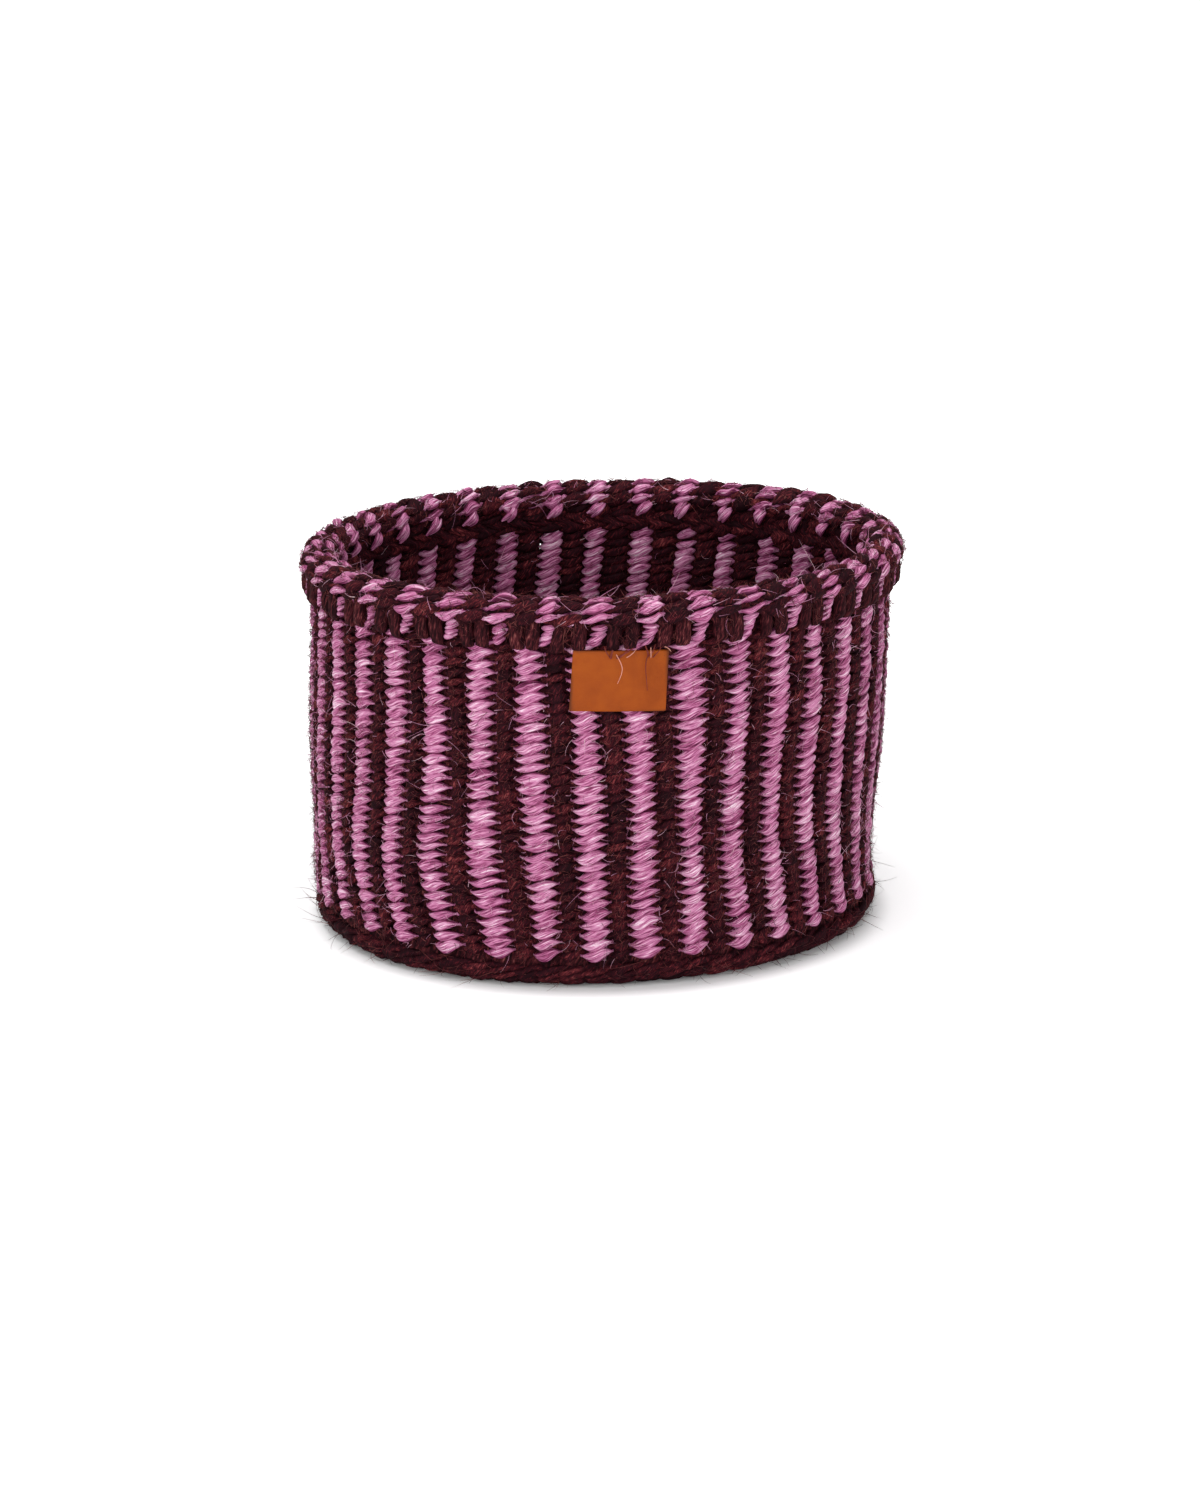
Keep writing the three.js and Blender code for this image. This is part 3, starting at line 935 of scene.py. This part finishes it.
def tag_piece():
    made = bmesh.new()
    front, back = tag_layers(made)
    right, foot = tag_columns - 1, tag_rows - 1
    for i in range(right):
        for j in range(foot):
            made.faces.new([front[i][j], front[i][j + 1], front[i + 1][j + 1], front[i + 1][j]])
            made.faces.new([back[i][j], back[i + 1][j], back[i + 1][j + 1], back[i][j + 1]])
    outline = [(i, 0) for i in range(tag_columns)] + [(right, j) for j in range(1, tag_rows)]
    outline += [(i, foot) for i in range(right - 1, -1, -1)] + [(0, j) for j in range(foot - 1, 0, -1)]
    for (i, j), (k, n) in zip(outline, outline[1:] + outline[:1]):
        made.faces.new([front[i][j], front[k][n], back[k][n], back[i][j]])
    made.normal_update()
    rims = [e for e in made.edges if e.is_manifold and e.calc_face_angle() > 1.0]
    bmesh.ops.bevel(made, geom=rims, offset=0.35 * mm, segments=3, affect="EDGES", profile=0.5)
    bmesh.ops.recalc_face_normals(made, faces=made.faces)
    mesh = bpy.data.meshes.new("leather_tag")
    made.to_mesh(mesh)
    made.free()
    mesh.polygons.foreach_set("use_smooth", np.ones(len(mesh.polygons), bool))
    return new_object("leather_tag", mesh)


tag = tag_piece()
print("tag corners:", len(tag.data.vertices))

# %% [markdown]
# The dark edge is measured on the finished mesh: each point's distance from the nearest side or end.

# %% The tag's edge
dark_edge = 0.7 * mm


def bend_with_tag(piece):
    """Bakes the piece's placing into its points."""
    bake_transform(piece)


points = np.array([v.co for v in tag.data.vertices])
turns = np.arctan2(points[:, 0], -points[:, 1])
from_side = tag_width / 2 - np.abs(turns - turns.mean()) * tag_face
from_end = np.minimum(points[:, 2] - points[:, 2].min(), points[:, 2].max() - points[:, 2])
near_edge = 1 - np.clip(np.minimum(from_side, from_end) / dark_edge, 0, 1)
edge_values = tag.data.attributes.new("cut_edge", "FLOAT", "POINT")
edge_values.data.foreach_set("value", near_edge.astype(np.float32))
tag.data.materials.append(tan_leather)
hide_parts("tag_sewn_edge", "tag_flap")
bend_with_tag(tag)
print("points on the dark edge:", int((near_edge > 0).sum()))

# %% [markdown]
# ## The thread that holds the tag
# Two small stitches of reddish thread come out of the rim, pass over the tag's top edge and go in
# through a hole. Each run of thread is a tube along a smooth line through a few places on the tag.
# A place is given in mm: across from the tag's middle, height, and distance off the leather.

# %% Thread
thread_steps = 16
stitch_girth, end_girth = 2 * mm, 1 * mm


def tube_along(line, half, reference, around):
    """A round tube along a line, with half its thickness at every point."""
    forward = unit(np.gradient(line, axis=0))
    side = unit(np.cross(forward, reference))
    other = np.cross(forward, side)
    bend = 2 * math.pi * np.arange(around) / around
    ring = side[:, None] * np.cos(bend)[:, None] + other[:, None] * np.sin(bend)[:, None]
    return line[:, None] + ring * half[:, None, None]


def tag_place(across, height, out):
    turn = tag_turn + across * mm / tag_face
    r = tag_face + out * mm
    return (r * math.sin(turn), -r * math.cos(turn), height * mm)


def thread_run(places, thickness):
    knots = np.array([tag_place(*place) for place in places])
    spread = np.linspace(0, len(knots) - 1, thread_steps)
    line = np.stack([np.interp(spread, np.arange(len(knots)), knots[:, k]) for k in range(3)], 1)
    for _ in range(2):
        line[1:-1] = (line[:-2] + 2 * line[1:-1] + line[2:]) / 4
    half = thickness * mm / 2 * (1 - 0.5 * np.linspace(0, 1, thread_steps) ** 3)
    return tube_along(line, half, [0.2, -0.9, 0.35], around=6)


def thread_piece(name, runs, sizes, girth):
    grids = [thread_run(run, size) for run, size in zip(runs, sizes)]
    return tubes_to_mesh(name, grids, False, [np.full(thread_steps, 0.5)] * len(grids), girth=girth)


left_runs = [
    [(-3.2, 107.9, -0.9), (-3.2, 108.5, 0.4), (-3.0, 109.9, 0.7), (-2.4, 112.2, 0.3)],
    [(-1.4, 108.2, 0.1), (0.2, 109.4, 0.7), (2.2, 110.5, 0.9), (4.3, 112.0, 0.4)],
    [(-0.7, 108.3, 0.1), (0.3, 109.2, 0.9), (1.3, 110.2, 0.8), (1.9, 112.2, 0.3)],
    [(-3.4, 107.9, -0.9), (-3.6, 108.9, 0.5), (-4.6, 110.2, 0.6), (-5.4, 112.2, 0.3)],
]
right_runs = [
    [(8.4, 107.9, -0.9), (8.3, 108.7, 0.5), (8.0, 110.1, 0.7), (7.2, 112.2, 0.3)],
    [(9.9, 108.0, 0.0), (10.5, 109.0, 0.6), (11.6, 110.2, 0.8), (12.6, 112.0, 0.3)],
    [(8.5, 108.0, -0.9), (8.9, 109.1, 0.7), (9.8, 110.4, 0.8), (10.4, 112.2, 0.3)],
]
left = thread_piece("tag_thread_left", left_runs, (0.7, 0.5, 0.45, 0.35), stitch_girth)
right = thread_piece("tag_thread_right", right_runs, (0.6, 0.35, 0.4), stitch_girth)
dress(left, (thread, "thread"), "tag_stitch_left")
dress(right, (thread, "thread"), "tag_stitch_right")
print("runs of thread:", len(left_runs) + len(right_runs))

# %% [markdown]
# The ends of the thread were never trimmed, so a pale one and a dark one hang over the leather, with
# three short pale ones above. They lie over the front of the tag.

# %% Loose thread ends
pale_ends = [
    [(-1.6, 109.6, 0.7), (-0.4, 107.5, 1.1), (0.5, 105.3, 0.8), (0.2, 103.0, 0.6), (-0.9, 100.2, 0.5)],
    [(1.7, 108.4, 0.2), (2.6, 109.1, 0.8), (3.6, 110.0, 0.9), (4.6, 111.0, 0.3)],
    [(9.0, 111.3, 0.4), (9.0, 110.0, 0.9), (9.1, 108.7, 0.8), (9.2, 107.9, 0.1)],
    [(12.2, 111.6, 0.4), (13.4, 111.4, 0.9), (14.6, 110.6, 0.9), (15.4, 109.6, 0.3)],
]
dark_ends = [
    [(8.0, 108.2, 0.2), (7.5, 106.6, 0.9), (7.6, 104.2, 0.7), (8.0, 101.2, 0.5), (8.4, 97.6, 0.5)],
]
end_size = 0.3
for name, runs, material in (
    ("tag_end_pale", pale_ends, pale_thread),
    ("tag_end_dark", dark_ends, thread),
):
    piece = thread_piece(name, runs, [end_size] * len(runs), end_girth)
    piece.data.materials.append(material)
    bend_with_tag(piece)
print("loose ends:", len(pale_ends) + len(dark_ends))

# %% [markdown]
# ## Stray fibres
# Sisal is never tidy. Short hairs stand up all over the weave, longer ones curl round the foot, and
# without them the basket looks like plastic. Each hair is a thin tapered tube with its own bend. It
# starts just under the surface, so that it seems to grow out of a strand. A place gives the point
# where it starts, and the ways out, aside and up from there.

# %% Hairs
upwards = np.array([0, 0, 1.0])
longest_hair = 16


def hair(start, direction, length, thickness, bend, steps):
    """One hair: it sets out in a direction and keeps turning towards the bend vector."""
    heading = direction / np.linalg.norm(direction)
    points = [start]
    for step in range(steps - 1):
        heading = heading + bend / (steps - 1)
        heading /= np.linalg.norm(heading)
        points.append(points[-1] + heading * length / (steps - 1))
    taper = np.linspace(1, 0.25, steps) * thickness / 2
    return tube_along(np.array(points), taper, [0.31, 0.52, 0.79], around=3)


def hairs(name, count, place, finish, length, curl, lift=(0.1, 0.5), thick=0.2, steps=6):
    """Many hairs. length is the middle and the spread of the lengths' logarithm, thick is in mm."""
    grids, tones = [], []
    for _ in range(count):
        start, out, aside, up = place()
        risen = chance.uniform(*lift)
        angle = chance.normal(0.35, 0.75) + (math.pi if chance.random() < 0.5 else 0)
        direction = out * risen + aside * math.cos(angle) + up * math.sin(angle)
        reach = min(chance.lognormal(*length), longest_hair) * mm
        bend = chance.normal(0, curl, 3) - out * 0.5 * risen
        thickness = thick * mm * chance.uniform(0.7, 1.3)
        grids.append(hair(start, direction, reach, thickness, bend, steps))
        tones.append(np.full(steps, chance.uniform(0.1, 0.9)))
    return dress(tubes_to_mesh(name, grids, False, tones, girth=end_girth), finish)


pale_stops = {0.2: (190, 108, 150), 0.5: (214, 150, 182), 0.8: (242, 214, 214)}
pale_hair = sisal("Pale hairs", pale_stops, fineness=1.0, length=20.0, bump=0.0)
dark_hair_stops = {0.25: (34, 10, 15), 0.5: (84, 32, 36), 0.75: (164, 92, 86)}
dark_hair = sisal("Dark hairs", dark_hair_stops, fineness=1.0, length=20.0, bump=0.0, shine=0.2)
pale_finish, hair_finish = (pale_hair, "pink_sisal"), (dark_hair, "dark_sisal")
print("hair materials:", pale_hair.name, dark_hair.name)

# %% [markdown]
# On the wall the hairs keep to their own stripe, pink or dark, and those that would lie behind the
# tag go to the back of the basket instead.

# %% Hairs on the wall
half_stripe = 0.3 * upright_turn


def ways(turn):
    """The ways out and aside at a turn."""
    out = np.array([math.sin(turn), -math.cos(turn), 0.0])
    return out, np.array([math.cos(turn), math.sin(turn), 0.0])


def on_wall(turn, z):
    """A place just over the wall's outer radius."""
    turn = turn + drift(turn, z)
    out, aside = ways(turn)
    return out * (wall_radius(z) + 0.05 * mm) + upwards * z, out, aside, upwards


def clear_of_tag(turn, z):
    behind = abs(turn - tag_turn) < 0.62 * tag_width / tag_face and z > tag_bottom - 1.5 * mm
    return on_wall(turn + math.pi if behind else turn, z)


def stripe_place(parity, spread):
    """Places on the stripes of one colour."""

    def place():
        column = chance.integers(0, hairpin_count) * 2 + parity
        turn = stripe_turn + column * upright_turn + chance.normal(0, spread)
        turn = math.remainder(turn, 2 * math.pi)
        return clear_of_tag(turn, chance.uniform(9 * mm, 112 * mm))

    return place


hairs(
    "hairs_pink", 4200, stripe_place(0, 1.3 * half_stripe), pale_finish,
    length=(1.0, 0.55), curl=1.1, thick=0.17, steps=7,
)
for part in (1, 2, 3):
    hairs(
        f"hairs_dark_{part}", 4700, stripe_place(1, half_stripe), hair_finish,
        length=(0.7, 0.45), curl=0.9,
    )
print("hairs on the wall:", 4200 + 3 * 4700)

# %% [markdown]
# Over the rim the hairs grow out of the tops of the stitches. On the folded bundles they lie along
# the bundle, upwards or downwards, as its own fibres do.

# %% Hairs on the rim and its bundles


def rim_place():
    """A place over the stitches of the rim."""
    out_flat, aside = ways(chance.uniform(0, 2 * math.pi))
    facing = math.radians(chance.uniform(-20, 190))
    out = out_flat * math.cos(facing) + upwards * math.sin(facing)
    along = upwards * math.cos(facing) - out_flat * math.sin(facing)
    centre = out_flat * roll_radius + upwards * roll_height
    return centre + out * (roll_size + 2.1 * mm), out, aside, along


def bundle_place():
    """A place on a folded bundle. Down stands in for aside, so the hairs lie along the bundle."""
    gap = chance.integers(0, hairpin_count)
    turn = stripe_turn + upright_turn * (2 * gap + 1) + chance.normal(0, 0.28) * upright_turn
    out, aside = ways(turn)
    start = out * (bundle_radius + 1.25 * mm) + upwards * chance.uniform(113 * mm, 120.5 * mm)
    return start, out, -upwards, aside


hairs(
    "hairs_rim_pale", 420, rim_place, pale_finish,
    length=(1.4, 0.5), curl=0.8, lift=(0.2, 0.8), steps=7,
)
hairs(
    "hairs_rim_dark", 3600, rim_place, hair_finish,
    length=(0.9, 0.4), curl=0.7, thick=0.22, steps=7,
)
hairs(
    "hairs_bundles", 1100, bundle_place, hair_finish,
    length=(1.0, 0.45), curl=0.8, lift=(-0.1, 0.4),
)
print("hairs on the rim:", 420 + 3600 + 1100)

# %% [markdown]
# Inside, the hairs lean towards the middle. Another lot stands off the outside and blurs the
# outline, and a few long ones curl over the table round the foot.

# %% Hairs inside, off the outside and at the foot
hair_gap = 0.08 * mm


def inside_place():
    """A place just over the inside of the wall, where out is towards the middle."""
    start, out, aside, up = on_wall(chance.uniform(-math.pi, math.pi), chance.uniform(8 * mm, 116 * mm))
    return start - out * (wall_thickness + 0.1 * mm), -out, -aside, up


def anywhere():
    """A place on the wall or the heel."""
    turn = chance.uniform(-math.pi, math.pi)
    return clear_of_tag(turn, chance.uniform(2 * mm, 112 * mm))


def foot_place():
    """A place low on the heel."""
    flat, aside = ways(chance.uniform(0, 2 * math.pi))
    facing = math.radians(chance.uniform(-60, 10))
    out = flat * math.cos(facing) + upwards * math.sin(facing)
    start = flat * heel_centre + upwards * heel_radius + out * (heel_radius - 0.3 * mm)
    return start, flat, aside, upwards * 0.25


hairs(
    "hairs_inside", 6000, inside_place, hair_finish,
    length=(0.8, 0.45), curl=0.9, lift=(0.1, 0.7),
)
hairs(
    "hairs_inside_pale", 500, inside_place, pale_finish,
    length=(1.4, 0.5), curl=1.1, lift=(0.1, 0.7), thick=0.18, steps=7,
)
hairs(
    "hairs_standing", 4200, anywhere, hair_finish,
    length=(0.75, 0.5), curl=1.3, lift=(0.5, 1.6), thick=0.14,
)
foot_hairs = hairs(
    "hairs_foot", 260, foot_place, hair_finish,
    length=(2.2, 0.35), curl=2.4, lift=(0.2, 1.0), steps=14,
)
for vertex in foot_hairs.data.vertices:
    vertex.co.z = max(vertex.co.z, hair_gap)

# %% [markdown]
# ## Floor
# The basket was photographed on white under broad soft light, with only a faint shadow round its
# foot. The floor is a plain white surface. What the camera sees of it is lifted to white by a little
# light of its own, for camera rays only, so nothing on the basket is lit by it. That light is weaker
# near the foot, so a painted shadow, centred 7 mm in front, greys the floor there with the true one.

# %% Floor and backdrop
floor_half = 6.0
# the painted shadow's middle lies 7 mm in front of the basket
shadow_offset = (0, 0.007, 0)
# the glow rises away from the foot; where it is weak the floor shows painted shadow as well as the true
# shadow
glow_rises = ((0.088, 0.1, 0.5), (0.1, 0.4, 0.6))


def floor_material():
    material, tree, shader = new_material("White floor")
    place = node(tree, "ShaderNodeTexCoord").outputs["Object"]
    middle = node(tree, "ShaderNodeVectorMath", {0: place, 1: shadow_offset}, operation="ADD")
    away = node(tree, "ShaderNodeVectorMath", {0: middle.outputs[0]}, operation="LENGTH")
    rises = []
    for near, far, most in glow_rises:
        limits = {"Value": away.outputs["Value"], "From Min": near, "From Max": far, "To Max": most}
        rise = node(tree, "ShaderNodeMapRange", limits, interpolation_type="SMOOTHSTEP")
        rises.append(rise.outputs[0])
    camera_only = node(tree, "ShaderNodeLightPath").outputs["Is Camera Ray"]
    feed(shader, {
        "Base Color": (0.88, 0.88, 0.88, 1),
        "Roughness": 0.9,
        "Specular IOR Level": 0.1,
        "Emission Color": (1, 1, 1, 1),
        "Emission Strength": math_node(tree, "MULTIPLY", camera_only, math_node(tree, "ADD", *rises)),
    })
    return material


floor_mesh = bpy.data.meshes.new("floor")
corners = [(x * floor_half, y * floor_half, 0) for x, y in ((-1, -1), (1, -1), (1, 1), (-1, 1))]
floor_mesh.from_pydata(corners, [], [(0, 1, 2, 3)])
floor = new_object("floor", floor_mesh)
floor_mesh.materials.append(floor_material())
floor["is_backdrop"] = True
print("floor ready")

# %% [markdown]
# ## Light
# A large softbox hangs overhead and smaller ones stand in front and at both sides. The room itself
# gives a weak even light, and only the camera sees it as white.

# %% Light
scene = bpy.context.scene
world = bpy.data.worlds.new("Soft white room")
scene.world = world
world.use_nodes = True
room = world.node_tree
camera_sees = node(room, "ShaderNodeLightPath").outputs["Is Camera Ray"]
strength = node(room, "ShaderNodeMapRange", {"Value": camera_sees, "To Min": 0.3, "To Max": 1.0})
feed(room.nodes["Background"], {"Strength": strength.outputs[0], "Color": (1, 1, 1, 1)})


def softbox(name, place, aim_height, width, height, watts):
    """An area lamp that looks at a point on the basket's axis."""
    lamp = bpy.data.lights.new(name, "AREA")
    lamp.shape = "RECTANGLE"
    lamp.size, lamp.size_y = width, height
    lamp.energy = watts
    made = new_object(name, lamp)
    made.location = place
    direction = Vector((0, 0, aim_height)) - Vector(place)
    made.rotation_euler = direction.to_track_quat("-Z", "Y").to_euler()


softbox("softbox_above", (-0.05, 0.0, 1.0), 0.06, width=0.7, height=0.6, watts=6.2)
softbox("softbox_left", (-0.6, -0.42, 0.26), 0.05, width=0.35, height=0.35, watts=1.5)
softbox("softbox_right", (0.62, -0.4, 0.28), 0.05, width=0.35, height=0.35, watts=1.2)
softbox("softbox_front", (0.0, -0.95, 0.28), 0.05, width=0.5, height=0.35, watts=2.2)

# %% [markdown]
# ## Camera
# The photograph looks down on the basket by about 15 degrees, from more than a metre away. The
# outline of the rim and the heel gave the distance, the lens and the slight roll.

# %% Camera
camera_data = bpy.data.cameras.new("camera")
camera_data.sensor_width = 36
camera_data.lens = 93.0
camera_data.shift_x = 0.0054
camera_data.shift_y = -0.0137
camera = new_object("camera", camera_data)
distance = 1.303
roll = math.radians(1.1)
elevation = math.radians(14.74)
aim = (-1.75 * mm, 0.0, 0.060)
camera.location = (
    aim[0],
    -distance * math.cos(elevation),
    aim[2] + distance * math.sin(elevation),
)
camera.rotation_euler = (math.pi / 2 - elevation, 0, 0)
camera.rotation_euler.rotate_axis("Z", -roll)
scene.camera = camera
scene.view_settings.view_transform = "Standard"
print("camera at", [round(c, 3) for c in camera.location])

# %% [markdown]
# ## Closing
# The box of the solids and the box of the finished basket are put side by side, so that they can be
# compared, and the box of the basket is printed.

# %% Closing
low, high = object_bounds()
sizes = {"cad": [list(cad_low), list(cad_high)], "visual": [list(low), list(high)]}
print("visual box", [round(v, 4) for v in (*low, *high)])
